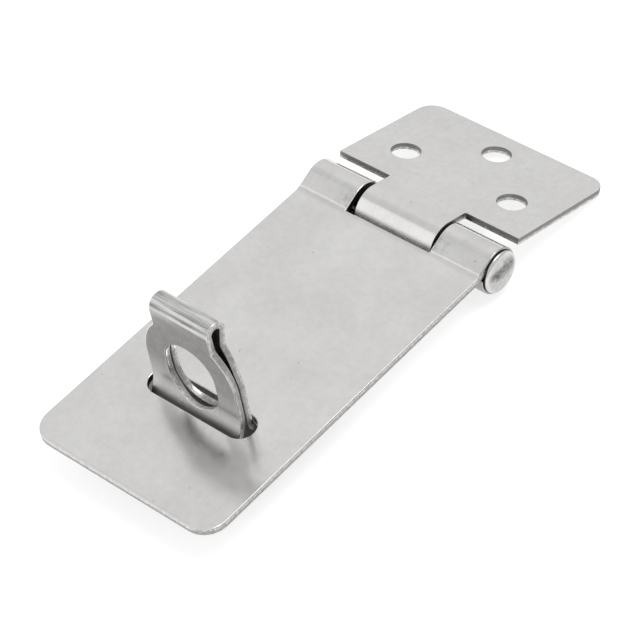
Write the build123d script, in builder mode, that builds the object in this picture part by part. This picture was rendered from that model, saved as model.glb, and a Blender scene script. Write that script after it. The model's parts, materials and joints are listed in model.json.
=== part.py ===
"""Hasp and staple with a hinged fixing leaf, pressed from stainless sheet.

Frame: +Z up out of the mounting surface, X along the hinge pin, Y along the hasp from the
slotted end (-Y) to the fixing leaf (+Y). The origin is the centre of the staple's screw
pattern, on the mounting surface. Millimetres and degrees.
"""
import os
from math import cos, radians, sin, tan

from build123d import *

os.makedirs("parts", exist_ok=True)

# Sheet and hinge
SHEET = 1.3                      # hasp plate and fixing leaf
HINGE_Y = 51.2                   # pin axis from the staple
HINGE_Z = 5.3                    # pin axis above the mounting surface
PIN_RADIUS = 3.0
PIN_CLEARANCE = 0.05             # radial, where the leaf turns on the pin
PIN_END_CHAMFER = 0.4
HEAD_RADIUS = 3.9
HEAD_RIM = 0.35                  # straight rim under the dome
HEAD_HEIGHT = 1.3

# Hasp plate
PLATE_WIDTH = 40.0
PLATE_FRONT_Y = -20.8
PLATE_TOP_Z = 7.7
PLATE_CORNER_RADIUS = 4.3
RAMP_ANGLE = 24.0                # rise from the plate up to the knuckles
RAMP_BEND_RADIUS = 5.0           # middle of the sheet
PLATE_WRAP = 306.0               # how far the sheet curls round the pin
NOTCH_HALF_WIDTH = 9.25          # gap between the two knuckles
NOTCH_FRONT = 4.7                # notch edge from the pin axis
SLOT_LENGTH = 22.5
SLOT_WIDTH = 5.5
SLOT_Y = -0.5

# Fixing leaf
LEAF_TILT = 16.0                 # the free end rests on the mounting surface
LEAF_WIDTH = 39.8
LEAF_REACH = 29.85               # pin axis to the free end, along the leaf
LEAF_EAR_START = 4.7             # pin axis to where the leaf gets its full width
LEAF_SHIFT_X = 0.3               # end play, taken up to one side
LEAF_CORNER_RADIUS = 3.5
LEAF_WRAP = 300.0
TONGUE_WIDTH = 16.8
LEAF_HOLE_RADIUS = 2.65
LEAF_HOLES = [(-11.8, 13.1), (11.8, 13.1), (0.0, 23.75)]

# Staple: one strip folded into two plies, with a rolled bead along the fold
PLY = 1.25
PLY_GAP = 0.1
BASE_WIDTH = 30.0
BASE_LENGTH = 32.6
BASE_STEP_Z = 3.6                # above this the strip narrows to the riser
BASE_CORNER_RADIUS = 3.0
FOOT_RADIUS = 4.0                # middle of the ply, like the other bends
SPLAY_ANGLE = 40.0               # the plies splay apart on the way down to the base
FRONT_SPLAY_START_Z = 10.9
FRONT_SPLAY_RADIUS = 8.0
BACK_SPLAY_START_Z = 8.4
BACK_SPLAY_RADIUS = 4.1
RISER_WIDTH = 19.5
SHOULDER_Z = 15.5
SHOULDER_TOP = (7.2, 22.6)       # x and z where the shoulder's curve ends
NECK_Z = 23.6
NECK_ROUND = 1.0
OPEN_RADIUS = 12.0               # bends where the plies part to form the bead
FRONT_LEAN = 2.0
BACK_LEAN = 11.0
BEAD_RADIUS = 2.1
BEAD_Y = 0.6
BEAD_Z = 26.8
BEAD_LENGTH = 12.7
EYE_WIDTH = 10.7                 # padlock eye
EYE_TOP_Z = 21.3
EYE_FRONT_LOW_Z = 8.0
EYE_BACK_LOW_Z = 7.5
BASE_HOLE_RADIUS = 2.2
BASE_HOLE_SPACING_X = 20.0
BASE_HOLE_SPACING_Y = 24.2


def plane_on_pin(x, run, up):
    """Plane across the pin axis whose x runs towards the pin along one of the leaves."""
    return Plane(origin=(x, HINGE_Y, HINGE_Z), x_dir=run, z_dir=Vector(run).cross(Vector(up)))


def draw_staple_side(side, lean, splay_start_z, splay_radius):
    """Middle of one ply, from the edge of its base flange up to the bead."""
    ply_y = (PLY + PLY_GAP) / 2
    flange_z = PLY / 2
    splay_z = splay_start_z - splay_radius * tan(radians(SPLAY_ANGLE / 2))
    foot_y = ply_y + (splay_z - flange_z) * tan(radians(SPLAY_ANGLE))
    touch_y = BEAD_Y + side * bead_middle_radius * cos(radians(lean))
    touch_z = BEAD_Z - bead_middle_radius * sin(radians(lean))
    open_z = touch_z - (side * touch_y - ply_y) / tan(radians(lean))
    FilletPolyline(
        (side * BASE_LENGTH / 2, flange_z),
        (side * foot_y, flange_z),
        (side * ply_y, splay_z),
        (side * ply_y, open_z),
        (touch_y, touch_z),
        radius=[FOOT_RADIUS, splay_radius, OPEN_RADIUS],
    )


# --- Hasp plate: slotted leaf whose two outer knuckles grip the pin -----------------------
plate_knuckle_radius = PIN_RADIUS + SHEET / 2
plate_height = PLATE_TOP_Z - HINGE_Z - SHEET / 2
plate_reach = HINGE_Y - PLATE_FRONT_Y
ramp_top = (-plate_knuckle_radius * sin(radians(RAMP_ANGLE)),
            plate_knuckle_radius * cos(radians(RAMP_ANGLE)))
ramp_foot = (ramp_top[0] - (ramp_top[1] - plate_height) / tan(radians(RAMP_ANGLE)), plate_height)

with BuildPart() as hasp_plate:
    with BuildSketch(plane_on_pin(0, (0, 1, 0), (0, 0, 1))):
        with BuildLine():
            FilletPolyline((-plate_reach, plate_height), ramp_foot, ramp_top, radius=RAMP_BEND_RADIUS)
            CenterArc((0, 0), plate_knuckle_radius, 90 + RAMP_ANGLE, -PLATE_WRAP)
        trace(line_width=SHEET)
    extrude(amount=PLATE_WIDTH / 2, both=True)
    with BuildSketch(Plane.XY):
        with Locations((0, HINGE_Y - NOTCH_FRONT)):
            Rectangle(2 * NOTCH_HALF_WIDTH, 4 * HINGE_Z, align=(Align.CENTER, Align.MIN))
    extrude(amount=3 * HINGE_Z, mode=Mode.SUBTRACT)
    with BuildSketch(Plane.XY.offset(PLATE_TOP_Z)):
        with Locations((0, SLOT_Y)):
            SlotOverall(SLOT_LENGTH, SLOT_WIDTH)
    extrude(amount=-2 * SHEET, mode=Mode.SUBTRACT)
    front_corners = hasp_plate.edges().filter_by(Axis.Z).group_by(Axis.Y)[0]
    fillet(front_corners, PLATE_CORNER_RADIUS)
hasp_plate.part.label = "hasp_plate"
export_step(hasp_plate.part, "parts/hasp_plate.step")

# --- Hinge pin: plain shank, flush at one end, domed head at the other --------------------
with BuildPart() as hinge_pin:
    with BuildSketch(Plane(origin=(0, HINGE_Y, HINGE_Z), x_dir=(1, 0, 0), z_dir=(0, -1, 0))):
        with BuildLine():
            end_x = -PLATE_WIDTH / 2
            head_x = PLATE_WIDTH / 2
            rim_x = head_x + HEAD_RIM
            top_x = head_x + HEAD_HEIGHT
            Polyline((top_x, 0), (end_x, 0), (end_x, PIN_RADIUS - PIN_END_CHAMFER),
                     (end_x + PIN_END_CHAMFER, PIN_RADIUS), (head_x, PIN_RADIUS),
                     (head_x, HEAD_RADIUS), (rim_x, HEAD_RADIUS))
            EllipticalCenterArc((rim_x, 0), top_x - rim_x, HEAD_RADIUS, start_angle=0, arc_size=90)
        make_face()
    revolve(axis=Axis((0, HINGE_Y, HINGE_Z), (1, 0, 0)))
hinge_pin.part.label = "hinge_pin"
export_step(hinge_pin.part, "parts/hinge_pin.step")

# --- Fixing leaf: three screw holes, and a tongue curled round the pin --------------------
tilt = radians(LEAF_TILT)
leaf_knuckle_radius = PIN_RADIUS + PIN_CLEARANCE + SHEET / 2
leaf_top_height = leaf_knuckle_radius + SHEET / 2
leaf_section = plane_on_pin(LEAF_SHIFT_X, (0, -cos(tilt), sin(tilt)), (0, sin(tilt), cos(tilt)))
leaf_top = Plane(origin=leaf_section.from_local_coords((0, leaf_top_height, 0)),
                 x_dir=(1, 0, 0), z_dir=leaf_section.y_dir)

with BuildPart() as fixed_leaf:
    with BuildSketch(leaf_section):
        with BuildLine():
            Line((-LEAF_REACH, leaf_knuckle_radius), (0, leaf_knuckle_radius))
            CenterArc((0, 0), leaf_knuckle_radius, 90, -LEAF_WRAP)
        trace(line_width=SHEET)
    extrude(amount=LEAF_WIDTH / 2, both=True)
    with BuildSketch(leaf_top):
        with Locations((-TONGUE_WIDTH / 2, LEAF_EAR_START)):
            Rectangle(LEAF_WIDTH, 4 * leaf_top_height, align=(Align.MAX, Align.MAX))
        with Locations((TONGUE_WIDTH / 2, LEAF_EAR_START)):
            Rectangle(LEAF_WIDTH, 4 * leaf_top_height, align=(Align.MIN, Align.MAX))
    extrude(amount=-3 * leaf_top_height, mode=Mode.SUBTRACT)
    with BuildSketch(leaf_top):
        with Locations(*LEAF_HOLES):
            Circle(LEAF_HOLE_RADIUS)
    extrude(amount=-2 * SHEET, mode=Mode.SUBTRACT)
    along_leaf = Axis(leaf_top.origin, leaf_top.y_dir)
    through_leaf = Axis(leaf_top.origin, leaf_top.z_dir)
    free_corners = fixed_leaf.edges().filter_by(through_leaf).group_by(along_leaf)[-1]
    fillet(free_corners, LEAF_CORNER_RADIUS)
fixed_leaf.part.label = "fixed_leaf"
export_step(fixed_leaf.part, "parts/fixed_leaf.step")

# --- Staple: base flanges, splayed plies, padlock eye and rolled bead ---------------------
bead_middle_radius = BEAD_RADIUS - PLY / 2

with BuildPart() as staple:
    with BuildSketch(Plane.YZ):
        with BuildLine():
            draw_staple_side(-1, FRONT_LEAN, FRONT_SPLAY_START_Z, FRONT_SPLAY_RADIUS)
            CenterArc((BEAD_Y, BEAD_Z), bead_middle_radius,
                      180 + FRONT_LEAN, -(180 + FRONT_LEAN + BACK_LEAN))
            draw_staple_side(1, BACK_LEAN, BACK_SPLAY_START_Z, BACK_SPLAY_RADIUS)
        trace(line_width=PLY)
    extrude(amount=BASE_WIDTH / 2, both=True)
    with BuildSketch(Plane.XZ):
        with BuildLine():
            Polyline((0, 0), (BASE_WIDTH / 2, 0), (BASE_WIDTH / 2, BASE_STEP_Z),
                     (RISER_WIDTH / 2, BASE_STEP_Z), (RISER_WIDTH / 2, SHOULDER_Z))
            TangentArc((RISER_WIDTH / 2, SHOULDER_Z), SHOULDER_TOP, tangent=(0, 1))
            neck = (BEAD_LENGTH / 2, NECK_Z)
            top = BEAD_Z + 2 * BEAD_RADIUS
            Polyline(SHOULDER_TOP, neck, (BEAD_LENGTH / 2, top), (0, top), (0, 0))
        make_face()
        mirror(about=Plane.YZ)
        necks = [v for v in vertices() if abs(v.Y - NECK_Z) < PLY_GAP]
        fillet(necks, NECK_ROUND)
    extrude(amount=BASE_LENGTH, both=True, mode=Mode.INTERSECT)
    for towards_front, low_z in ((1, EYE_FRONT_LOW_Z), (-1, EYE_BACK_LOW_Z)):
        with BuildSketch(Plane.XZ):
            with Locations((0, (EYE_TOP_Z + low_z) / 2)):
                SlotOverall(EYE_TOP_Z - low_z, EYE_WIDTH, rotation=90)
        extrude(amount=towards_front * BASE_LENGTH, mode=Mode.SUBTRACT)
    with BuildSketch(Plane.XY):
        with GridLocations(BASE_HOLE_SPACING_X, BASE_HOLE_SPACING_Y, 2, 2):
            Circle(BASE_HOLE_RADIUS)
    extrude(amount=2 * PLY, mode=Mode.SUBTRACT)
    upright = staple.edges().filter_by(Axis.Z)
    base_corners = upright.group_by(Axis.Y)[0] + upright.group_by(Axis.Y)[-1]
    fillet(base_corners, BASE_CORNER_RADIUS)
staple.part.label = "staple"
export_step(staple.part, "parts/staple.step")
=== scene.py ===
"""Looks of the hasp and staple: bent sheet pieces with rolled-over cut edges, brushed stainless
steel, and a pale studio.

Each sheet piece is cut as a flat blank, with x across the hasp and s along the strip, and then
folded along its bent middle line. Shapes are worked out in millimetres and written to the
meshes in metres. Shaders and the studio work in metres.
"""
import json
from math import asin, atan2, ceil, cos, degrees, pi, radians, sin, tan

import bmesh
import bpy
from mathutils import Matrix, Vector
from mathutils.geometry import tessellate_polygon


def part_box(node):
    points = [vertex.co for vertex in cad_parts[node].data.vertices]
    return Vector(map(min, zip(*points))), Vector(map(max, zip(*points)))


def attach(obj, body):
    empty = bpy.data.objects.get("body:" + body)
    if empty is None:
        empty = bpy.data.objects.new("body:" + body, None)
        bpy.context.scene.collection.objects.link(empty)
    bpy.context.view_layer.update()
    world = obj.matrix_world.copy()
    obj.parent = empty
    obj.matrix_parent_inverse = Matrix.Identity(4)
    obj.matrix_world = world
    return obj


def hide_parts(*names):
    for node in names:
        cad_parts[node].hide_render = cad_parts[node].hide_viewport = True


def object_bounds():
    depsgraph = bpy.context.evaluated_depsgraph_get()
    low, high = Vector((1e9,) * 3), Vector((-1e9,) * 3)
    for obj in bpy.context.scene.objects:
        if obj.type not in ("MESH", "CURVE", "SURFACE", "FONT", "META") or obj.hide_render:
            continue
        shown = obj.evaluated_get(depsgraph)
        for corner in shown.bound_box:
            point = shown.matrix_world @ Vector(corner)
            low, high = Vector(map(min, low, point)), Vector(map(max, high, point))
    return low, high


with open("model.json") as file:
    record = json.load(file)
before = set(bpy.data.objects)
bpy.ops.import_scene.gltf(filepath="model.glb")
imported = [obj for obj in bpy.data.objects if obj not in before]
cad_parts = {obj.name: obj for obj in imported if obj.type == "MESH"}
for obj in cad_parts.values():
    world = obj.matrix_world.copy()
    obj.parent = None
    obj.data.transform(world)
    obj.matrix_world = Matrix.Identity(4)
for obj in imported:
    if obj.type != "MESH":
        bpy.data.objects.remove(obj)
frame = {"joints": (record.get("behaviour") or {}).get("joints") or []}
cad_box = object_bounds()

MM = 0.001

# Hasp plate, in millimetres, where its packed box doesn't give it
SHEET = 1.3                      # also of the fixing leaf
PLATE_TOP_Z = 7.7
PLATE_CORNER_RADIUS = 4.3
PLATE_EDGE_ROUND = (0.19, 0.12)  # of the upper edge and of the lower one
RAMP_ANGLE = 24.0
RAMP_BEND_RADIUS = 5.0
PLATE_WRAP = 306.0
NOTCH_HALF_WIDTH = 9.25
NOTCH_FRONT = 4.7
SLOT_LENGTH = 22.5
SLOT_WIDTH = 5.5
SLOT_Y = -0.5
CREASE_FROM_PIN = 4.35           # pressed line at the foot of the knuckles
CREASE_DEPTH = 0.09
CREASE_WIDTH = 0.55
CREASE_STEPS = 16
FRONT_ROLL_WIDTH = 0.5           # upper edge of the slotted end, rolled over by the shear
FRONT_ROLL_DEPTH = 0.26
FRONT_ROLL_STEPS = 6

# Fixing leaf
LEAF_TILT = 16.0
LEAF_REACH = 29.85
LEAF_EAR_START = 4.7
LEAF_SHIFT_X = 0.3
LEAF_CORNER_RADIUS = 3.5
LEAF_EDGE_ROUND = (0.07, 0.2)
LEAF_WRAP = 300.0
TONGUE_WIDTH = 16.8
LEAF_HOLE_RADIUS = 2.65
LEAF_HOLES = [(-11.8, 13.1), (11.8, 13.1), (0.0, 23.75)]

# Staple
PLY = 1.2
PLY_MIDDLE = 0.68                # from the plane between the plies
STAPLE_EDGE_ROUND = (0.2, 0.2)
BASE_STEP_Z = 3.6
BASE_STEP_ROUND = 0.5
BASE_CORNER_RADIUS = 3.0
FOOT_RADIUS = 4.0
SPLAY_ANGLE = 40.0
FRONT_SPLAY = (10.9, 8.0)        # z where the ply starts to splay, and the radius of its bend
BACK_SPLAY = (8.4, 4.1)
RISER_WIDTH = 19.5
SHOULDER_Z = 15.5
SHOULDER_TOP = (7.2, 22.6)
NECK_Z = 23.6
NECK_ROUND = 1.0
OPEN_RADIUS = 12.0
FRONT_LEAN = 2.0
BACK_LEAN = 11.0
BEAD_RADIUS = 2.1
BEAD_Y = 0.6
BEAD_Z = 26.8
BEAD_LENGTH = 12.7
EYE_WIDTH = 10.7
EYE_TOP_Z = 21.3
EYE_LOW_Z = (8.0, 7.5)           # in the front ply and in the back one
BASE_HOLE_RADIUS = 2.2
BASE_HOLE_SPACING = (20.0, 24.2)

# Heights on the staple at which its painted shade and painted light change
PAINTED_LIGHT_BELOW_Z = 9.5             # painted light on the staple's lower part, fully below this
SLOT_SHADE_Z = 7.1                  # painted shade where the staple leaves the slot
BACK_EDGE_SHADED_Z = 7.2           # painted shade on the cut edge of the back ply, below this
SHADED_BELOW_Z = 6.4               # painted shade on the base below the hasp plate
# the painted shade on the base is weaker below this, on the flange
FLANGE_BELOW_Z = 1.8

# Pin
PIN_RADIUS = 3.0
PIN_CLEARANCE = 0.05
PIN_END_CHAMFER = 0.4
HEAD_RADIUS = 3.9
HEAD_CHAMFER = 0.1
HEAD_RIM = 0.35
HEAD_HEIGHT = 1.3

# Mesh detail
SHARP = 0.25                     # corner radius of a square cut
ARC_STEP = radians(9)
SHOULDER_STEP = radians(4)
BEND_STEP = radians(5)
EDGE_STEPS = 4                   # faces across each rounded edge
PIN_SIDES = 96
DOME_STEPS = 16
SHADE_SMOOTH_TO = radians(30)


# ---------------------------------------------------------------- blanks and bending
class MiddleLine:
    """Middle line of a bent strip in its side view, as straight runs joined by tangent arcs."""

    def __init__(self, start, heading=0.0):
        self.end = Vector(start)
        self.heading = heading
        self.length = 0.0
        self.runs = []                   # (first s, point, heading, length, curvature)

    def add(self, length, curvature):
        self.runs.append((self.length, self.end, self.heading, length, curvature))
        self.end, self.heading = self.at(self.length + length)
        self.length += length

    def straight(self, length):
        self.add(length, 0.0)

    def turn(self, radius, angle):
        """Turns by an angle in degrees, left if it is positive."""
        angle = radians(angle)
        self.add(abs(angle) * radius, (1 if angle > 0 else -1) / radius)

    def follow(self, points, radii):
        """Runs on through the points, which start where the line ends, rounding the inner ones."""
        points = [Vector(p) for p in points]
        inset = 0.0
        for i, point in enumerate(points[1:-1], 1):
            before, after = point - points[i - 1], points[i + 1] - point
            angle = atan2(before.cross(after), before.dot(after))
            cut = radii[i - 1] * tan(abs(angle) / 2)
            self.straight(before.length - inset - cut)
            self.turn(radii[i - 1], degrees(angle))
            inset = cut
        self.straight((points[-1] - points[-2]).length - inset)

    def at(self, s):
        """Point and heading at s."""
        run = self.runs[0]
        for candidate in self.runs:
            if candidate[0] <= s:
                run = candidate
        first, point, heading, _, curvature = run
        d = s - first
        if curvature == 0:
            return point + Vector((cos(heading), sin(heading))) * d, heading
        turned = heading + curvature * d
        side = Vector((sin(turned) - sin(heading), cos(heading) - cos(turned)))
        return point + side / curvature, turned

    def bend_cuts(self):
        """Values of s at which a blank is divided so that its bends come out smooth."""
        cuts = []
        for first, _, _, length, curvature in self.runs:
            count = ceil(length * abs(curvature) / BEND_STEP) if curvature else 1
            cuts += [first + length * i / count for i in range(count + 1)]
        return cuts

    def s_where(self, test, low, high):
        """The s between low and high at which test(point) turns true."""
        for _ in range(40):
            middle = (low + high) / 2
            if test(self.at(middle)[0]):
                high = middle
            else:
                low = middle
        return (low + high) / 2


def rounded(corners):
    """Outline through (x, s, radius) corners, with material on its left: (point, outward) pairs."""
    outline = []
    count = len(corners)
    for i, (x, s, radius) in enumerate(corners):
        point = Vector((x, s))
        before = (point - Vector(corners[i - 1][:2])).normalized()
        after = (Vector(corners[(i + 1) % count][:2]) - point).normalized()
        angle = atan2(before.cross(after), before.dot(after))
        if radius == 0:
            along = (before + after).normalized()
            outline.append((point, Vector((along.y, -along.x))))
            continue
        side = Vector((-before.y, before.x)) * (1 if angle > 0 else -1)
        start = point - before * radius * tan(abs(angle) / 2)
        centre = start + side * radius
        steps = max(2, ceil(abs(angle) / ARC_STEP))
        for k in range(steps + 1):
            turn = Matrix.Rotation(angle * k / steps, 2)
            along = turn @ before
            outline.append((centre + turn @ (start - centre), Vector((along.y, -along.x))))
    return [p for i, p in enumerate(outline) if (p[0] - outline[i - 1][0]).length > 1e-4]


def obround(x, s, width, height):
    """Hole with half-round ends: its outline has material on its left, so it runs clockwise."""
    radius = min(width, height) / 2 - 1e-4
    left, right = x - width / 2, x + width / 2
    low, high = s - height / 2, s + height / 2
    return rounded([(left, low, radius), (left, high, radius),
                    (right, high, radius), (right, low, radius)])


def edge_profile(thickness, rounds):
    """Cut edge from the upper face to the lower one: (inset, height, slope) rows."""
    upper_round, lower_round = rounds
    rows = []
    for k in range(EDGE_STEPS + 1):
        slope = pi / 2 * k / EDGE_STEPS
        rows.append((upper_round * (1 - sin(slope)),
                     thickness / 2 - upper_round * (1 - cos(slope)), slope))
    for k in range(EDGE_STEPS + 1):
        slope = pi / 2 * (1 + k / EDGE_STEPS)
        rows.append((lower_round * (1 - sin(slope)),
                     -thickness / 2 + lower_round * (1 + cos(slope)), slope))
    return rows


def flat_blank(outlines, rows):
    """Flat solid in (x, s, height): faces in material slot 0 and cut edges in slot 1."""
    bm = bmesh.new()
    outward_layer = bm.verts.layers.float_vector.new("outward")
    rings = []
    for outline in outlines:
        ring_rows = []
        for inset, height, slope in rows:
            ring = []
            for point, outward in outline:
                place = point - outward * inset
                vert = bm.verts.new((place.x, place.y, height))
                vert[outward_layer] = (outward.x * sin(slope), outward.y * sin(slope), cos(slope))
                ring.append(vert)
            ring_rows.append(ring)
        rings.append(ring_rows)
        for upper, lower in zip(ring_rows, ring_rows[1:]):
            for i in range(len(upper)):
                face = bm.faces.new((upper[i - 1], lower[i - 1], lower[i], upper[i]))
                face.material_index = 1
    for row, up in ((0, 1), (-1, -1)):
        loops = [ring_rows[row] for ring_rows in rings]
        verts = [v for loop in loops for v in loop]
        for triple in tessellate_polygon([[v.co for v in loop] for loop in loops]):
            corners = [verts[i] for i in triple]
            across = (corners[1].co - corners[0].co).cross(corners[2].co - corners[0].co)
            if across.z * up < 0:
                corners.reverse()
            bm.faces.new(corners)
    return bm


def new_piece(name, bm, materials):
    """Object made from a bmesh, which it uses up."""
    mesh = bpy.data.meshes.new(name)
    bm.to_mesh(mesh)
    bm.free()
    for material in materials:
        mesh.materials.append(material)
    piece = bpy.data.objects.new(name, mesh)
    bpy.context.scene.collection.objects.link(piece)
    return piece


def fold(name, bm, cuts, place, materials):
    """Divides a flat blank at the cuts and moves it by place(x, s, height) into a new piece.

    Each vertex keeps its place on the flat blank in the layer "sheet", in metres.
    """
    for s in sorted(set(round(c, 4) for c in cuts)):
        everything = bm.verts[:] + bm.edges[:] + bm.faces[:]
        bmesh.ops.bisect_plane(bm, geom=everything, dist=1e-5, plane_co=(0, s, 0),
                               plane_no=(0, 1, 0))
    outward_layer = bm.verts.layers.float_vector["outward"]
    sheet_layer = bm.verts.layers.float_vector.new("sheet")
    grain = bm.loops.layers.uv.new("grain")
    step = 1e-3
    normals = []
    for vert in bm.verts:
        flat = vert.co.copy()
        columns = []
        for axis in range(3):
            shift = Vector((0, 0, 0))
            shift[axis] = step
            columns.append((place(*(flat + shift)) - place(*(flat - shift))) / (2 * step))
        jacobian = Matrix(columns)       # its rows are the columns, so it is transposed
        normals.append((jacobian.inverted() @ vert[outward_layer]).normalized())
        vert[sheet_layer] = flat * MM
        vert.co = place(*flat) * MM
    for face in bm.faces:
        face.smooth = True
        for loop in face.loops:
            flat = loop.vert[sheet_layer]
            loop[grain].uv = (flat.x / MM, flat.y / MM)
    bm.verts.layers.float_vector.remove(outward_layer)
    piece = new_piece(name, bm, materials)
    piece.data.normals_split_custom_set_from_vertices(normals)
    return piece


# ---------------------------------------------------------------- pieces
hinge = Vector(next(j for j in frame["joints"] if j["name"] == "leaf_hinge")["pos_m"]) / MM
plate_low, plate_high = (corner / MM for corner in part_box("hasp_plate"))
leaf_low, leaf_high = (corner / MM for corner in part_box("fixed_leaf"))
staple_low, staple_high = (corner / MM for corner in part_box("staple"))


def make_plate(materials):
    """Slotted plate, raised at the hinge end and curled round the pin on both sides of a notch."""
    curl = PIN_RADIUS + SHEET / 2
    height = PLATE_TOP_Z - hinge.z - SHEET / 2
    reach = hinge.y - plate_low.y
    half_width = (plate_high.x - plate_low.x) / 2
    ramp = radians(RAMP_ANGLE)
    top = Vector((-curl * sin(ramp), curl * cos(ramp)))
    foot = Vector((top.x - (top.y - height) / tan(ramp), height))
    line = MiddleLine((-reach, height))
    line.follow([(-reach, height), foot, top], [RAMP_BEND_RADIUS])
    line.turn(curl, -PLATE_WRAP)
    notch = line.s_where(lambda p: p.x > -NOTCH_FRONT, 0, reach)
    crease = line.s_where(lambda p: p.x > -CREASE_FROM_PIN, 0, reach)
    end = line.length
    outline = rounded([
        (-half_width, 0, PLATE_CORNER_RADIUS), (half_width, 0, PLATE_CORNER_RADIUS),
        (half_width, end, SHARP), (NOTCH_HALF_WIDTH, end, SHARP),
        (NOTCH_HALF_WIDTH, notch, SHARP), (-NOTCH_HALF_WIDTH, notch, SHARP),
        (-NOTCH_HALF_WIDTH, end, SHARP), (-half_width, end, SHARP)])
    slot = obround(0, SLOT_Y - plate_low.y, SLOT_LENGTH, SLOT_WIDTH)

    def place(x, s, h):
        point, heading = line.at(s)
        if h > 0:
            h -= FRONT_ROLL_DEPTH * max(0, 1 - s / FRONT_ROLL_WIDTH) ** 2
            across = (s - crease) / (CREASE_WIDTH / 2)
            if abs(across) < 1:
                h -= CREASE_DEPTH * (1 + cos(pi * across)) / 2
        return Vector((x, hinge.y + point.x - h * sin(heading),
                       hinge.z + point.y + h * cos(heading)))

    cuts = line.bend_cuts()
    cuts += [crease + CREASE_WIDTH * (i / CREASE_STEPS - 0.5) for i in range(CREASE_STEPS + 1)]
    cuts += [FRONT_ROLL_WIDTH * (i + 1) / FRONT_ROLL_STEPS for i in range(FRONT_ROLL_STEPS)]
    bm = flat_blank([outline, slot], edge_profile(SHEET, PLATE_EDGE_ROUND))
    return fold("plate_sheet", bm, cuts, place, materials)


def make_leaf(materials):
    """Fixing leaf with three screw holes, and a tongue curled round the middle of the pin."""
    curl = PIN_RADIUS + PIN_CLEARANCE + SHEET / 2
    half_width = (leaf_high.x - leaf_low.x) / 2
    half_tongue = TONGUE_WIDTH / 2
    ears = LEAF_REACH - LEAF_EAR_START
    line = MiddleLine((-LEAF_REACH, curl))
    line.straight(LEAF_REACH)
    line.turn(curl, -LEAF_WRAP)
    end = line.length
    outline = rounded([
        (-half_width, 0, LEAF_CORNER_RADIUS), (half_width, 0, LEAF_CORNER_RADIUS),
        (half_width, ears, SHARP), (half_tongue, ears, SHARP), (half_tongue, end, SHARP),
        (-half_tongue, end, SHARP), (-half_tongue, ears, SHARP), (-half_width, ears, SHARP)])
    size = 2 * LEAF_HOLE_RADIUS
    holes = [obround(-x, LEAF_REACH - along, size, size) for x, along in LEAF_HOLES]
    tilt = radians(LEAF_TILT)

    def place(x, s, h):
        point, heading = line.at(s)
        u = point.x - h * sin(heading)
        v = point.y + h * cos(heading)
        return Vector((LEAF_SHIFT_X - x, hinge.y - u * cos(tilt) + v * sin(tilt),
                       hinge.z + u * sin(tilt) + v * cos(tilt)))

    bm = flat_blank([outline] + holes, edge_profile(SHEET, LEAF_EDGE_ROUND))
    return fold("leaf_sheet", bm, line.bend_cuts(), place, materials)


def staple_line():
    """Middle line of the whole staple strip, and the s where its bead starts and ends."""
    flange_z = PLY / 2
    half_base = staple_high.y
    bead = BEAD_RADIUS - PLY / 2

    def side_points(side, lean, splay):
        """Corners of one ply's middle line, from the edge of the base up to the bead."""
        splay_z = splay[0] - splay[1] * tan(radians(SPLAY_ANGLE / 2))
        foot_y = PLY_MIDDLE + (splay_z - flange_z) * tan(radians(SPLAY_ANGLE))
        touch_y = BEAD_Y + side * bead * cos(radians(lean))
        touch_z = BEAD_Z - bead * sin(radians(lean))
        open_z = touch_z - (side * touch_y - PLY_MIDDLE) / tan(radians(lean))
        return [(side * half_base, flange_z), (side * foot_y, flange_z),
                (side * PLY_MIDDLE, splay_z), (side * PLY_MIDDLE, open_z), (touch_y, touch_z)]

    front = side_points(-1, FRONT_LEAN, FRONT_SPLAY)
    back = side_points(1, BACK_LEAN, BACK_SPLAY)
    line = MiddleLine(front[0])
    line.follow(front, [FOOT_RADIUS, FRONT_SPLAY[1], OPEN_RADIUS])
    bead_start = line.length
    line.turn(bead, -(180 + FRONT_LEAN + BACK_LEAN))
    bead_end = line.length
    line.follow(back[::-1], [OPEN_RADIUS, BACK_SPLAY[1], FOOT_RADIUS])
    return line, bead_start, bead_end


def shoulder_curve(half_riser):
    """Points along the arc that leaves the riser's side upright and ends at the shoulder's top."""
    rise = SHOULDER_TOP[1] - SHOULDER_Z
    inward = half_riser - SHOULDER_TOP[0]
    radius = (rise * rise + inward * inward) / (2 * inward)
    total = asin(rise / radius)
    steps = ceil(total / SHOULDER_STEP)
    return [(half_riser - radius * (1 - cos(total * k / steps)),
             SHOULDER_Z + radius * sin(total * k / steps)) for k in range(steps + 1)]


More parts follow.
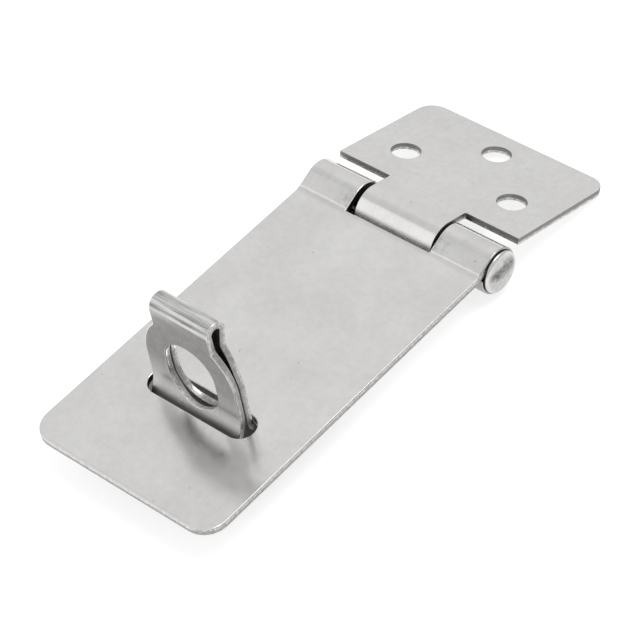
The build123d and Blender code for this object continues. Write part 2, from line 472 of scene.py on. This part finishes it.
def make_staple(materials):
    """One strip folded into two plies with a bead along the fold, splayed into a screwed base."""
    line, bead_start, bead_end = staple_line()
    end = line.length

    def front_s(z):
        return line.s_where(lambda p: p.y > z, 0, bead_start)

    def back_s(z):
        return line.s_where(lambda p: p.y < z, bead_end, end)

    half_riser, half_bead = RISER_WIDTH / 2, BEAD_LENGTH / 2
    half_width = (staple_high.x - staple_low.x) / 2
    edge = [(half_width, None, BASE_CORNER_RADIUS), (half_width, BASE_STEP_Z, SHARP),
            (half_riser, BASE_STEP_Z, BASE_STEP_ROUND)]
    edge += [(x, z, 0) for x, z in shoulder_curve(half_riser)]
    edge += [(half_bead, NECK_Z, NECK_ROUND)]
    right = [(x, 0 if z is None else front_s(z), r) for x, z, r in edge]
    right += [(x, end if z is None else back_s(z), r) for x, z, r in reversed(edge)]
    left = [(-x, s, r) for x, s, r in reversed(right)]
    holes = []
    for s_at, eye_low_z, base_edge, inward in ((front_s, EYE_LOW_Z[0], 0, 1),
                                               (back_s, EYE_LOW_Z[1], end, -1)):
        low, high = sorted((s_at(eye_low_z), s_at(EYE_TOP_Z)))
        holes.append(obround(0, (low + high) / 2, EYE_WIDTH, high - low))
        s = base_edge + inward * (staple_high.y - BASE_HOLE_SPACING[1] / 2)
        for x in (-BASE_HOLE_SPACING[0] / 2, BASE_HOLE_SPACING[0] / 2):
            holes.append(obround(x, s, 2 * BASE_HOLE_RADIUS, 2 * BASE_HOLE_RADIUS))

    def place(x, s, h):
        point, heading = line.at(s)
        return Vector((x, point.x - h * sin(heading), point.y + h * cos(heading)))

    bm = flat_blank([rounded(right + left)] + holes, edge_profile(PLY, STAPLE_EDGE_ROUND))
    return fold("staple_strip", bm, line.bend_cuts(), place, materials)


def make_pin(material):
    """Hinge pin: turned shank, flush and chamfered at one end, with a domed head at the other."""
    end_x, head_x = plate_low.x, plate_high.x
    rim_x = head_x + HEAD_RIM
    dome = HEAD_HEIGHT - HEAD_RIM
    profile = [(end_x, 0.0), (end_x, PIN_RADIUS - PIN_END_CHAMFER),
               (end_x + PIN_END_CHAMFER, PIN_RADIUS), (head_x, PIN_RADIUS),
               (head_x, HEAD_RADIUS - HEAD_CHAMFER), (head_x + HEAD_CHAMFER, HEAD_RADIUS),
               (rim_x, HEAD_RADIUS)]
    for k in range(1, DOME_STEPS):
        a = pi / 2 * k / DOME_STEPS
        profile.append((rim_x + dome * sin(a), HEAD_RADIUS * cos(a)))
    profile.append((rim_x + dome, 0.0))
    bm = bmesh.new()
    rings = []
    for x, radius in profile:
        ring = []
        for i in range(PIN_SIDES if radius > 0 else 1):
            a = 2 * pi * i / PIN_SIDES
            place = Vector((x, hinge.y + radius * cos(a), hinge.z + radius * sin(a)))
            ring.append(bm.verts.new(place * MM))
        rings.append(ring)
    for first, second in zip(rings, rings[1:]):
        for i in range(PIN_SIDES):
            corners = [first[(i + 1) % len(first)], first[i % len(first)],
                       second[i % len(second)], second[(i + 1) % len(second)]]
            bm.faces.new(list(dict.fromkeys(corners)))
    bmesh.ops.recalc_face_normals(bm, faces=bm.faces[:])
    piece = new_piece("pin_turned", bm, [material])
    piece.data.shade_smooth()
    piece.data.set_sharp_from_angle(angle=SHADE_SMOOTH_TO)
    return piece


# ---------------------------------------------------------------- materials
# Steel colours
BRIGHT = (0.70, 0.695, 0.688)
CLOUDED = (0.655, 0.648, 0.638)
GRAIN_LINES = (0.4, 0.395, 0.385)
SPECKS = (0.30, 0.29, 0.28)
# pale streaks on the bead, and painted light on the staple's lower part
PALE_STREAKS_AND_PAINTED_LIGHT = (0.76, 0.755, 0.75)
# dark wear and streaks, and painted shade beneath the plate, in gaps and on the curl
DARK_WEAR_AND_PAINTED_SHADE = (0.03, 0.03, 0.03)
BURNISHED = (0.66, 0.65, 0.64)
TORN = (1, 0.98, 0.96)           # times the tone of the torn band
TORN_LINES = (0.28, 0.275, 0.27)
DENTS = (0.2, 0.195, 0.19)
BURNISHED_RIM_AND_HIGHLIGHT = (0.8, 0.79, 0.78)
SIDE_RIM_SHADE = (0.33, 0.33, 0.33)
TURNED = (0.53, 0.525, 0.515)
TURNED_WORN = (0.41, 0.405, 0.40)
TURNED_RIM = (0.62, 0.615, 0.605)
DOME_PAINTED_REFLECTION = (0.06, 0.06, 0.06)
HEAD_UNDERSIDE_SHADE = (0.1, 0.1, 0.1)
PIN_PAINTED_SHADE = (0.05, 0.05, 0.05)

# How often the noises repeat in a metre, across the sheet, along it and through it
FINE_BRUSHING = (9000, 220, 9000)
BROAD_BRUSHING = (2400, 70, 2400)
SCRATCHING = (5200, 60, 5200)
SHEAR_LINES = (7000, 7000, 500)
TORN_WANDER = (900, 900, 0)
STREAKS = (90, 2600)

# Marks on the plate's blank, in metres: where each is weakest, and where it is strongest
SCUFF_ACROSS = (0.0128, 0.0100)  # at the inner ends of the knuckles
SCUFF_START = (0.0676, 0.0682)
SCUFF_END = (0.0718, 0.0702)
SCUFF_SHARE = 0.34
CURL_UNDERSIDE_SHADE = (0.0790, 0.0840)     # painted shade on the underside of the curl
CURL_UNDERSIDE_SHADE_SHARE = 0.45
FRONT_BAND_SHADE = (0.00034, 0.00022)  # painted shade: grey lower part of the rolled front edge
FRONT_BAND_SHADE_SHARE = 0.27

# Marks on cut edges, in metres across and along the blank and up from the middle of the sheet
SLOT_END_SHADE = (0.0089, 0.0115)    # painted shade on cut edges from and to this far across, at the slot's ends
EDGE_SHADE_AFTER = (0.004, 0.005)     # none on the front edge
EDGE_SHADE_BELOW = (5e-4, 3e-4)
EDGE_SHADE_SHARE = 0.85
CURL_SEAM = 0.0690               # past this the cut edge of the curl has painted shade
PLATE_SIDE = 0.0199              # past this far across are the plate's long sides, where the rim has painted shade
RIM_ABOVE = (4.8e-4, 5.6e-4)
SIDE_RIM_SHADE_ABOVE = (4.2e-4, 5.0e-4)

# Marks on the pin, among them a painted reflection and painted shade, in metres from the middle of
# its axis
TURNED_RIM_PAST = (0.0030, 0.0036)   # radius
DOME_REFLECTION_HEIGHT = (0.0003, 0.0014)      # of its middle line, as it wanders
DOME_REFLECTION_EDGE = (0.0015, 0.0003)        # from its middle line
DOME_REFLECTION_WITHIN = (0.0036, 0.0026)      # radius
HEAD_SHADE_HEIGHT = (-0.0022, -0.0036)
HEAD_SHADE_RADIUS = (0.0032, 0.0038)
SHANK_SHADE_WITHIN = (0.01985, 0.0194)     # painted shade on the shank within this, along the axis
HEAD_BACK = (0.02038, 0.02030)       # along the axis, where a ring of painted shade runs round the back of the head


def opaque(colour, tone=1.0):
    return tuple(part * tone for part in colour) + (1,)


class Shader:
    """Node tree of a new material that ends in one Principled shader."""

    def __init__(self, name):
        self.material = bpy.data.materials.new(name)
        self.material.use_nodes = True
        self.tree = self.material.node_tree
        self.tree.nodes.clear()
        self.principled = self.add("ShaderNodeBsdfPrincipled")
        output = self.add("ShaderNodeOutputMaterial")
        self.tree.links.new(self.principled.outputs[0], output.inputs[0])

    def add(self, kind, inputs=None, **settings):
        """New node. An input's value is a number, a colour, or another node's output."""
        node = self.tree.nodes.new(kind)
        for key, value in settings.items():
            setattr(node, key, value)
        for key, value in (inputs or {}).items():
            self.give(node, key, value)
        return node

    def give(self, node, key, value):
        if isinstance(value, bpy.types.NodeSocket):
            self.tree.links.new(value, node.inputs[key])
        else:
            node.inputs[key].default_value = value

    def shade(self, **values):
        for key, value in values.items():
            self.give(self.principled, key.replace("_", " "), value)

    def math(self, operation, *values):
        inputs = dict(enumerate(values))
        return self.add("ShaderNodeMath", inputs, operation=operation).outputs[0]

    def plus(self, first, second):
        return self.math("ADD", first, second)

    def times(self, first, second):
        return self.math("MULTIPLY", first, second)

    def larger(self, first, second):
        return self.math("MAXIMUM", first, second)

    def size_of(self, value):
        return self.math("ABSOLUTE", value)

    def vector(self, operation, first, *second):
        inputs = dict(enumerate((first,) + second))
        return self.add("ShaderNodeVectorMath", inputs, operation=operation).outputs

    def point(self, *parts):
        return self.add("ShaderNodeCombineXYZ", dict(enumerate(parts))).outputs[0]

    def parts(self, vector):
        return self.add("ShaderNodeSeparateXYZ", {0: vector}).outputs

    def stretch(self, vector, scale):
        node = self.add("ShaderNodeMapping", {"Vector": vector, "Scale": scale})
        return node.outputs["Vector"]

    def noise(self, vector, scale=1.0, detail=2.0, roughness=0.5):
        node = self.add("ShaderNodeTexNoise", {
            "Vector": vector, "Scale": scale, "Detail": detail, "Roughness": roughness})
        return node.outputs["Fac"]

    def remap(self, value, low, high, to_low=0.0, to_high=1.0):
        node = self.add("ShaderNodeMapRange", {
            "Value": value, "From Min": low, "From Max": high, "To Min": to_low,
            "To Max": to_high})
        return node.outputs["Result"]

    def cover(self, share, below, colour):
        """A share of colour over what is below it."""
        node = self.add("ShaderNodeMix", data_type="RGBA")
        self.give(node, 0, share)
        self.give(node, 6, below)
        self.give(node, 7, colour)
        return node.outputs[2]

    def bump(self, height, distance, strength):
        inputs = {"Height": height, "Distance": distance, "Strength": strength}
        return self.add("ShaderNodeBump", inputs).outputs["Normal"]

    def sheet(self, shift):
        """Place on the flat blank, and the same place moved by shift, for noises."""
        place = self.add("ShaderNodeAttribute", attribute_name="sheet").outputs["Vector"]
        return place, self.vector("ADD", place, shift)[0]


def brushed_steel(name, seed, tone=1.0, rough=(0.17, 0.25), mottling=0.15, marks=None):
    """Satin stainless sheet, brushed along the strip, with faint clouding, scratches and specks.

    marks(shader, x, s) may add more: it gives a share of dark and a share of light marks,
    among them painted shade and painted light.
    """
    shader = Shader(name)
    place, moved = shader.sheet((seed, seed * 0.7, 0))
    fine = shader.noise(shader.stretch(moved, FINE_BRUSHING), detail=3, roughness=0.6)
    broad = shader.noise(shader.stretch(moved, BROAD_BRUSHING), detail=2)
    cloud = shader.noise(moved, scale=90, detail=4, roughness=0.6)
    mottle = shader.noise(moved, scale=800, detail=3, roughness=0.65)
    scratch = shader.noise(shader.stretch(moved, SCRATCHING), detail=1)
    scratch = shader.remap(scratch, 0.70, 0.78)
    speck = shader.remap(shader.noise(moved, scale=900, detail=1), 0.79, 0.82)
    grain = shader.math("MULTIPLY_ADD", broad, 0.5, shader.times(fine, 0.5))
    roughness = shader.remap(grain, 0.3, 0.7, *rough)
    roughness = shader.plus(roughness, shader.remap(cloud, 0.35, 0.65, -0.025, 0.03))
    roughness = shader.plus(roughness, shader.times(scratch, -0.06))
    base = shader.cover(shader.remap(cloud, 0.3, 0.7), opaque(CLOUDED, tone),
                        opaque(BRIGHT, tone))
    base = shader.cover(shader.remap(grain, 0.35, 0.65, 0.0, 0.06), base,
                        opaque(GRAIN_LINES, tone))
    base = shader.cover(shader.remap(mottle, 0.35, 0.68, 0.0, mottling), base,
                        opaque(GRAIN_LINES, tone))
    base = shader.cover(shader.times(speck, 0.6), base, opaque(SPECKS))
    if marks:
        across, along, _ = shader.parts(place)
        dark, pale = marks(shader, across, along)
        # painted light and painted shade come in with these pale and dark shares, besides streaks
        # and wear
        base = shader.cover(pale, base, opaque(PALE_STREAKS_AND_PAINTED_LIGHT))
        base = shader.cover(dark, base, opaque(DARK_WEAR_AND_PAINTED_SHADE))
        roughness = shader.plus(roughness, shader.times(dark, 0.2))
    relief = shader.plus(grain, shader.times(scratch, -0.5))
    tangent = shader.add("ShaderNodeTangent", direction_type="UV_MAP", uv_map="grain").outputs[0]
    shader.shade(Base_Color=base, Metallic=1.0, Roughness=roughness, Anisotropic=0.55,
                 Tangent=tangent, Normal=shader.bump(relief, 4e-6, 0.3))
    return shader.material


def plate_marks(shader, x, s):
    """Rubbed patches at the inner ends of the plate's two knuckles, painted shade on their
    underside, and painted shade as a grey band along the rolled front edge."""
    near = shader.remap(shader.size_of(x), *SCUFF_ACROSS)
    along = shader.times(shader.remap(s, *SCUFF_START), shader.remap(s, *SCUFF_END))
    rubbed = shader.noise(shader.point(x, s), scale=1000, detail=4, roughness=0.65)
    rubbed = shader.remap(rubbed, 0.42, 0.62)
    scuff = shader.times(shader.times(shader.times(near, along), rubbed), SCUFF_SHARE)
    # painted shade on the underside of the curl
    underside_shade = shader.remap(s, *CURL_UNDERSIDE_SHADE, 0.0, CURL_UNDERSIDE_SHADE_SHARE)
    # painted shade on the lower part of the rolled front edge
    front = shader.remap(s, *FRONT_BAND_SHADE, 0.0, FRONT_BAND_SHADE_SHARE)
    return shader.larger(shader.larger(scuff, underside_shade), front), 0.0


def staple_marks(shader, x, s):
    """Streaks along the bead, painted shade on the base below the hasp plate and where the staple
    leaves the slot, and painted light on its lower part.
    """
    line, bead_start, bead_end = staple_line()
    middle = (bead_start + bead_end) / 2 * MM
    half_bead = (bead_end - bead_start) / 2 * MM
    away = shader.size_of(shader.math("SUBTRACT", s, middle))

    def reach(z):
        """Distance along the strip from the middle of the bead down to z."""
        return middle - line.s_where(lambda p: p.y > z, 0, bead_start) * MM

    def past(z, before, after, share_before=0.0, share_after=1.0):
        """Share that changes from a distance before z to a distance after it."""
        return shader.remap(away, reach(z) - before, reach(z) + after, share_before, share_after)

    bead = shader.remap(away, half_bead + 0.001, half_bead - 0.0006)
    streak = shader.point(shader.times(x, STREAKS[0]), shader.times(s, STREAKS[1]))
    streak = shader.noise(streak, detail=3, roughness=0.6)
    dark = shader.times(bead, shader.remap(streak, 0.5, 0.68, 0.0, 0.38))
    # painted shade on the base below the hasp plate, weaker on the flange
    painted_shade = shader.times(past(SHADED_BELOW_Z, 0.0004, 0.0012),
                        past(FLANGE_BELOW_Z, 0.001, 0.002, 0.9, 0.4))
    # painted shade where the staple leaves the slot
    slot_shade = past(SLOT_SHADE_Z, 0.0005, 0.0004, 0.0, 0.5)
    dark = shader.larger(shader.larger(dark, painted_shade), slot_shade)
    pale = shader.times(bead, shader.remap(streak, 0.62, 0.3, 0.15, 0.8))
    # painted light on the staple's lower part
    pale = shader.larger(pale, past(PAINTED_LIGHT_BELOW_Z, 0.006, 0.0010))
    return dark, pale


def sheared_steel(name, burnished_side, seed, tone=1.0, torn_tone=0.44, rim=0.6,
                  burnished_to=0.6e-4, shaded_across=(1.0, 2.0), seam=1.0, side=1.0):
    """Cut edge of the sheet: a smooth burnished band, then a rough torn band.

    burnished_side is 1 for the upper side and -1 for the lower one, and the burnished band ends
    at burnished_to from the middle of the sheet. Below its rim the edge has painted shade from
    shaded_across[0] to shaded_across[1] across, and past seam along. Its rim is lighter, partly
    burnished and partly a painted highlight, and past side across it has painted shade. All are in
    metres, and left out where they are past the piece.
    """
    shader = Shader(name)
    place, moved = shader.sheet((seed, seed, 0))
    across, along, height = shader.parts(place)
    across = shader.size_of(across)
    lines = shader.noise(shader.stretch(moved, SHEAR_LINES), detail=2)
    grit = shader.noise(moved, scale=5200, detail=3, roughness=0.7)
    dents = shader.noise(moved, scale=1700, detail=4, roughness=0.7)
    wander = shader.noise(shader.stretch(moved, TORN_WANDER), detail=2)
    level = shader.plus(shader.times(height, burnished_side),
                        shader.remap(wander, 0.3, 0.7, -1.2e-4, 1.2e-4))
    torn = shader.remap(level, burnished_to + 1e-4, burnished_to)
    roughness = shader.math("MULTIPLY_ADD", torn, 0.22, 0.24)
    roughness = shader.plus(roughness, shader.remap(grit, 0.3, 0.7, -0.04, 0.06))
    base = shader.cover(torn, opaque(BURNISHED, tone), opaque(TORN, torn_tone))
    base = shader.cover(shader.remap(lines, 0.4, 0.65, 0, 0.5), base, opaque(TORN_LINES))
    base = shader.cover(shader.remap(dents, 0.42, 0.60, 0, 0.6), base, opaque(DENTS))
    # painted shade on cut edges in the slot's ends and notch, on the curl and on the back ply
    edge_shade = shader.times(shader.remap(across, shaded_across[0], shaded_across[0] + 1e-4),
                         shader.remap(across, shaded_across[1] + 1e-4, shaded_across[1]))
    edge_shade = shader.times(edge_shade, shader.remap(along, *EDGE_SHADE_AFTER))
    edge_shade = shader.larger(edge_shade, shader.remap(along, seam, seam + 0.001))
    edge_shade = shader.times(edge_shade, shader.remap(height, *EDGE_SHADE_BELOW, 0.0, EDGE_SHADE_SHARE))
    base = shader.cover(edge_shade, base, opaque(DARK_WEAR_AND_PAINTED_SHADE))
    # the rim is lighter: partly burnished, partly a painted highlight
    base = shader.cover(shader.remap(height, *RIM_ABOVE, 0.0, rim), base, opaque(BURNISHED_RIM_AND_HIGHLIGHT))
    # painted shade: the rim is darkened along the plate's long sides
    painted_shade = shader.times(shader.remap(across, side - 4e-4, side),
                        shader.remap(height, *SIDE_RIM_SHADE_ABOVE, 0.0, 0.8))
    base = shader.cover(painted_shade, base, opaque(SIDE_RIM_SHADE))
    relief = shader.plus(shader.times(lines, 0.6), shader.times(shader.times(grit, torn), 1.2))
    relief = shader.plus(relief, shader.times(dents, 2.0))
    shader.shade(Base_Color=base, Metallic=1.0, Roughness=roughness,
                 Normal=shader.bump(relief, 1.6e-5, 0.6))
    return shader.material


def turned_steel(name):
    """Pin: bright ends with fine turning rings, a painted dark reflection across the dome, painted
    shade beneath the head and round its back edge, and painted shade on the shank.
    """
    shader = Shader(name)
    place = shader.add("ShaderNodeTexCoord").outputs["Object"]
    centred = shader.vector("ADD", place, tuple(-hinge * MM))[0]
    radial = shader.vector("MULTIPLY", centred, (0, 1, 1))[0]
    radius = shader.vector("LENGTH", radial)["Value"]
    x, _, z = shader.parts(centred)
    rings = shader.noise(shader.point(shader.plus(radius, x)), scale=9000, detail=2)
    marks = shader.noise(centred, scale=1500, detail=3, roughness=0.6)
    cloud = shader.noise(centred, scale=420, detail=2)
    roughness = shader.plus(shader.remap(rings, 0.3, 0.7, 0.16, 0.24),
                            shader.remap(cloud, 0.35, 0.65, -0.03, 0.05))
    base = shader.cover(shader.remap(marks, 0.35, 0.7), opaque(TURNED), opaque(TURNED_WORN))
    base = shader.cover(shader.remap(radius, *TURNED_RIM_PAST), base, opaque(TURNED_RIM))
    # painted dark reflection across the dome
    dome_reflection = shader.math("SUBTRACT", z, shader.remap(cloud, 0.3, 0.7, *DOME_REFLECTION_HEIGHT))
    dome_reflection = shader.remap(shader.size_of(dome_reflection), *DOME_REFLECTION_EDGE)
    dome_reflection = shader.times(dome_reflection, shader.remap(radius, *DOME_REFLECTION_WITHIN))
    dome_reflection = shader.times(dome_reflection, shader.remap(marks, 0.3, 0.6, 0.45, 0.85))
    base = shader.cover(dome_reflection, base, opaque(DOME_PAINTED_REFLECTION))
    # painted shade on the lower side of the head
    underside_shade = shader.times(shader.remap(z, *HEAD_SHADE_HEIGHT), shader.remap(radius, *HEAD_SHADE_RADIUS))
    base = shader.cover(shader.times(underside_shade, 0.6), base, opaque(HEAD_UNDERSIDE_SHADE))
    # painted shade on the shank in the gaps, and as a ring round the back of the head
    shank = shader.remap(shader.size_of(x), *SHANK_SHADE_WITHIN)
    head_radius = HEAD_RADIUS * MM
    rim = shader.times(shader.remap(radius, head_radius - 8e-5, head_radius),
                       shader.remap(x, *HEAD_BACK))
    base = shader.cover(shader.larger(shank, rim), base, opaque(PIN_PAINTED_SHADE))
    relief = shader.plus(shader.times(rings, 0.25), marks)
    shader.shade(Base_Color=base, Metallic=1.0, Roughness=roughness,
                 Normal=shader.bump(relief, 1.5e-5, 0.5))
    return shader.material


# ---------------------------------------------------------------- camera and studio
CAMERA_AZIMUTH = 48.84
CAMERA_ELEVATION = 45.62
CAMERA_ROLL = -11.01
CAMERA_DISTANCE = 0.4641
CAMERA_LENS = 158.5                        # for a 36 mm sensor
CAMERA_AIM = (0.00352, -0.00597, -0.00649)  # from the middle of the object's box
CAMERA_NEAR = 0.01

SKY = 0.80                       # brightness of the surroundings overhead, where 1 is white
HORIZON = 0.66
SKY_STARTS_AT = 0.4              # height of a unit vector, from where on SKY is reached

FLOOR_HALF = 4.0
FLOOR_COLOUR = (0.42, 0.42, 0.42)
FLOOR_GLOW = 0.70
SHADE_COLOUR = (0.02, 0.02, 0.02)  # painted shadow: the floor's glow fades to this beneath the staple, where little light gets in
SHADE_SHIFT = (0.003, 0, 0)
SHADE_STRETCH = (1.0, 1.25, 1)
SHADE_FADE = (0.0135, 0.0175)

SOFTBOXES = [                    # name, azimuth, elevation, distance, size and radiance
    ("key_softbox", 150, 68, 1.6, 1.0, 4.0),
    ("front_panel", 319, 37, 1.5, 1.2, 0.42),
    ("back_panel", 217, 25, 1.5, 1.7, 0.14),
]


def aim(thing, place, target, roll=0.0):
    """Puts a camera or a light at place, looking at target."""
    forward = (target - place).normalized()
    turn = forward.to_track_quat("-Z", "Y").to_matrix() @ Matrix.Rotation(roll, 3, "Z")
    thing.matrix_world = Matrix.Translation(place) @ turn.to_4x4()


def direction(azimuth, elevation):
    """Unit vector from the object towards a place seen at these angles."""
    a, e = radians(azimuth), radians(elevation)
    return Vector((sin(a) * cos(e), -cos(a) * cos(e), sin(e)))


def make_camera(centre):
    camera = bpy.data.objects.new("camera", bpy.data.cameras.new("camera"))
    camera.data.lens = CAMERA_LENS
    camera.data.clip_start = CAMERA_NEAR
    bpy.context.scene.collection.objects.link(camera)
    target = centre + Vector(CAMERA_AIM)
    place = target + direction(CAMERA_AZIMUTH, CAMERA_ELEVATION) * CAMERA_DISTANCE
    aim(camera, place, target, radians(CAMERA_ROLL))
    bpy.context.scene.camera = camera


def make_softbox(name, centre, azimuth, elevation, distance, size, radiance):
    """Square light. Radiance is the brightness of its face, where 1 is white."""
    light = bpy.data.lights.new(name, "AREA")
    light.shape = "SQUARE"
    light.size = size
    light.energy = radiance * size * size * pi
    thing = bpy.data.objects.new(name, light)
    thing.visible_camera = False
    bpy.context.scene.collection.objects.link(thing)
    aim(thing, centre + direction(azimuth, elevation) * distance, centre)


def make_floor():
    """Pale floor that glows a little, with a painted shadow beneath the staple."""
    mesh = bpy.data.meshes.new("floor")
    half = FLOOR_HALF
    mesh.from_pydata([(-half, -half, 0), (half, -half, 0), (half, half, 0), (-half, half, 0)],
                     [], [(0, 1, 2, 3)])
    shader = Shader("floor_paper")
    place = shader.add("ShaderNodeTexCoord").outputs["Object"]
    place = shader.stretch(shader.vector("ADD", place, SHADE_SHIFT)[0], SHADE_STRETCH)
    away = shader.vector("LENGTH", place)["Value"]
    # painted shadow: the floor's glow is darkened beneath the staple
    glow = shader.cover(shader.remap(away, *SHADE_FADE), opaque(SHADE_COLOUR), (1, 1, 1, 1))
    shader.shade(Base_Color=opaque(FLOOR_COLOUR), Roughness=0.9, Specular_IOR_Level=0.1,
                 Emission_Color=glow, Emission_Strength=FLOOR_GLOW)
    mesh.materials.append(shader.material)
    floor = bpy.data.objects.new("floor", mesh)
    bpy.context.scene.collection.objects.link(floor)


def make_sky():
    """Pale surroundings, a little darker towards the horizon."""
    world = bpy.data.worlds.new("studio")
    world.use_nodes = True
    tree = world.node_tree
    place = tree.nodes.new("ShaderNodeTexCoord")
    split = tree.nodes.new("ShaderNodeSeparateXYZ")
    ramp = tree.nodes.new("ShaderNodeMapRange")
    ramp.interpolation_type = "SMOOTHSTEP"
    for key, value in (("From Min", 0.0), ("From Max", SKY_STARTS_AT), ("To Min", HORIZON),
                       ("To Max", SKY)):
        ramp.inputs[key].default_value = value
    tree.links.new(place.outputs["Generated"], split.inputs[0])
    tree.links.new(split.outputs["Z"], ramp.inputs["Value"])
    tree.links.new(ramp.outputs["Result"], tree.nodes["Background"].inputs["Strength"])
    tree.nodes["Background"].inputs["Color"].default_value = (1, 1, 1, 1)
    bpy.context.scene.world = world


def make_studio(centre):
    make_sky()
    bpy.context.scene.view_settings.view_transform = "Standard"
    make_floor()
    for name, *where in SOFTBOXES:
        make_softbox(name, centre, *where)


# ---------------------------------------------------------------- assembly
def back_edge_shaded_from():
    """The s, in metres, past which the cut edge of the staple's back ply has painted shade."""
    line, _, bead_end = staple_line()
    return line.s_where(lambda p: p.y < BACK_EDGE_SHADED_Z, bead_end, line.length) * MM


plate_steel = brushed_steel("brushed_plate", 0.13, marks=plate_marks)
leaf_steel = brushed_steel("brushed_leaf", 0.57, tone=1.03)
staple_steel = brushed_steel("brushed_staple", 0.91, tone=0.57, rough=(0.25, 0.33), mottling=0.5,
                             marks=staple_marks)
plate_edge = sheared_steel("sheared_plate_edge", 1, 0.2, shaded_across=SLOT_END_SHADE, seam=CURL_SEAM,
                           side=PLATE_SIDE)
leaf_edge = sheared_steel("sheared_leaf_edge", -1, 0.6, torn_tone=0.24, rim=0.0,
                          burnished_to=0.4e-4)
staple_edge = sheared_steel("sheared_staple_edge", 1, 0.8, tone=0.8, torn_tone=0.38,
                            seam=back_edge_shaded_from())

made = [
    (make_plate([plate_steel, plate_edge]), "hasp", "hasp_plate", "brushed_sheet"),
    (make_leaf([leaf_steel, leaf_edge]), "leaf", "fixed_leaf", "brushed_sheet"),
    (make_staple([staple_steel, staple_edge]), "staple", "staple", "brushed_sheet"),
    (make_pin(turned_steel("turned_pin")), "hasp", "hinge_pin", "pin_steel"),
]
for piece, body, node, slot in made:
    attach(piece, body)
    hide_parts(node)

middle = (cad_box[0] + cad_box[1]) / 2
make_camera(middle)
make_studio(middle)
